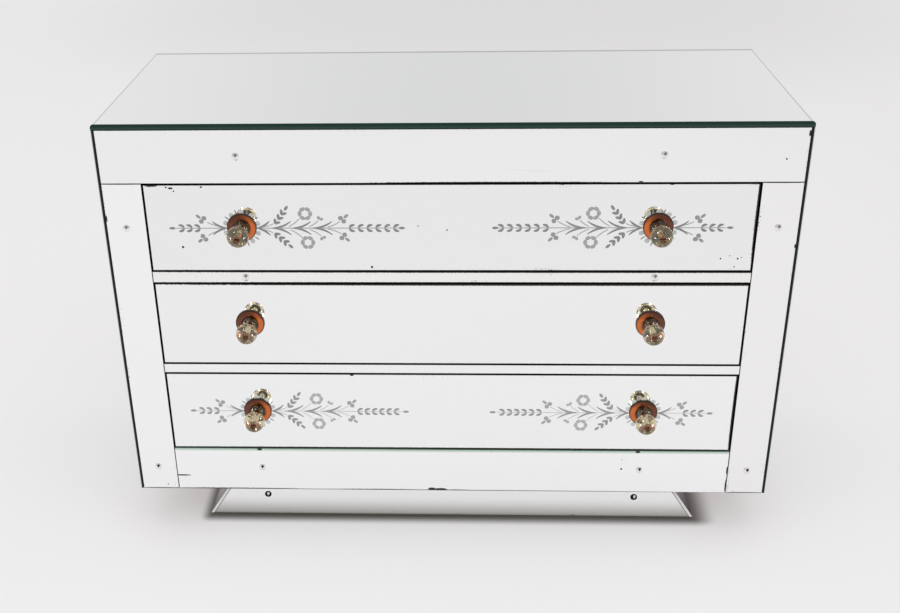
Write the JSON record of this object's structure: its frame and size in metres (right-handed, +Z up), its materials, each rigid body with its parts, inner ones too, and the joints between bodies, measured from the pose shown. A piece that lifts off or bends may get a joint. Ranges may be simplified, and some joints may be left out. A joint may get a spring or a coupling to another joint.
{
  "type": "chest of drawers",
  "caption": "Straight-fronted chest of drawers clad in mirror glass, on a low flared plinth, with amber and clear glass knobs; the drawers slide out to hold clothes or linen.",
  "frame": {"origin": "on the floor, under the middle of the whole chest with its knobs", "axes": "+Z up, +X to the right of a person facing the drawers, the front faces -Y"},
  "size_m": [1.006, 0.437, 0.688],
  "materials": {
    "mirror": "silvered glass, lightly foxed",
    "carcase_wood": "stained, unpolished",
    "ebonised_wood": "black stain, matt",
    "back_plywood": "bare plywood",
    "drawer_wood": "bare, waxed",
    "screw_metal": "polished, a little dull",
    "steel": "plain",
    "brass": "tarnished",
    "amber_glass": "amber, silvered behind",
    "clear_glass": "pressed, polished"
  },
  "bodies": {
    "carcase": {"top_mirror": "mirror", "left_side_mirror": "mirror", "right_side_mirror": "mirror", "frieze_mirror": "mirror", "left_stile_mirror": "mirror", "right_stile_mirror": "mirror", "upper_rail_mirror": "mirror", "lower_rail_mirror": "mirror", "apron_mirror": "mirror", "plinth_front_mirror": "mirror", "plinth_left_mirror": "mirror", "plinth_right_mirror": "mirror", "left_side_board": "carcase_wood", "right_side_board": "carcase_wood", "top_board": "carcase_wood", "bottom_board": "carcase_wood", "drawer_runners": "carcase_wood", "drawer_stops": "carcase_wood", "drawer_kickers": "carcase_wood", "plinth_back_board": "carcase_wood", "plinth_left_board": "carcase_wood", "plinth_right_board": "carcase_wood", "plinth_front_board": "carcase_wood", "plinth_glue_blocks": "carcase_wood", "left_stile": "ebonised_wood", "right_stile": "ebonised_wood", "frieze_rail": "ebonised_wood", "upper_drawer_rail": "ebonised_wood", "lower_drawer_rail": "ebonised_wood", "bottom_rail": "ebonised_wood", "back_panel": "back_plywood", "mirror_screws": "screw_metal", "back_panel_screws": "steel"},
    "lower_drawer": {"lower_drawer_front": "drawer_wood", "lower_drawer_left_side": "drawer_wood", "lower_drawer_right_side": "drawer_wood", "lower_drawer_back": "drawer_wood", "lower_drawer_bottom": "drawer_wood", "lower_drawer_mirror": "mirror", "lower_drawer_knob_plates": "amber_glass", "lower_drawer_knob_glasses": "clear_glass", "lower_drawer_knob_bolts": "brass"},
    "middle_drawer": {"middle_drawer_front": "drawer_wood", "middle_drawer_left_side": "drawer_wood", "middle_drawer_right_side": "drawer_wood", "middle_drawer_back": "drawer_wood", "middle_drawer_bottom": "drawer_wood", "middle_drawer_mirror": "mirror", "middle_drawer_knob_plates": "amber_glass", "middle_drawer_knob_glasses": "clear_glass", "middle_drawer_knob_bolts": "brass"},
    "upper_drawer": {"upper_drawer_front": "drawer_wood", "upper_drawer_left_side": "drawer_wood", "upper_drawer_right_side": "drawer_wood", "upper_drawer_back": "drawer_wood", "upper_drawer_bottom": "drawer_wood", "upper_drawer_mirror": "mirror", "upper_drawer_knob_plates": "amber_glass", "upper_drawer_knob_glasses": "clear_glass", "upper_drawer_knob_bolts": "brass"}
  },
  "joints": [
    {"name": "lower_drawer_slide", "type": "slide", "parent": "carcase", "child": "lower_drawer", "axis": [0, -1, 0], "range_m": [0, 0.27]},
    {"name": "middle_drawer_slide", "type": "slide", "parent": "carcase", "child": "middle_drawer", "axis": [0, -1, 0], "range_m": [0, 0.27]},
    {"name": "upper_drawer_slide", "type": "slide", "parent": "carcase", "child": "upper_drawer", "axis": [0, -1, 0], "range_m": [0, 0.27]}
  ]
}
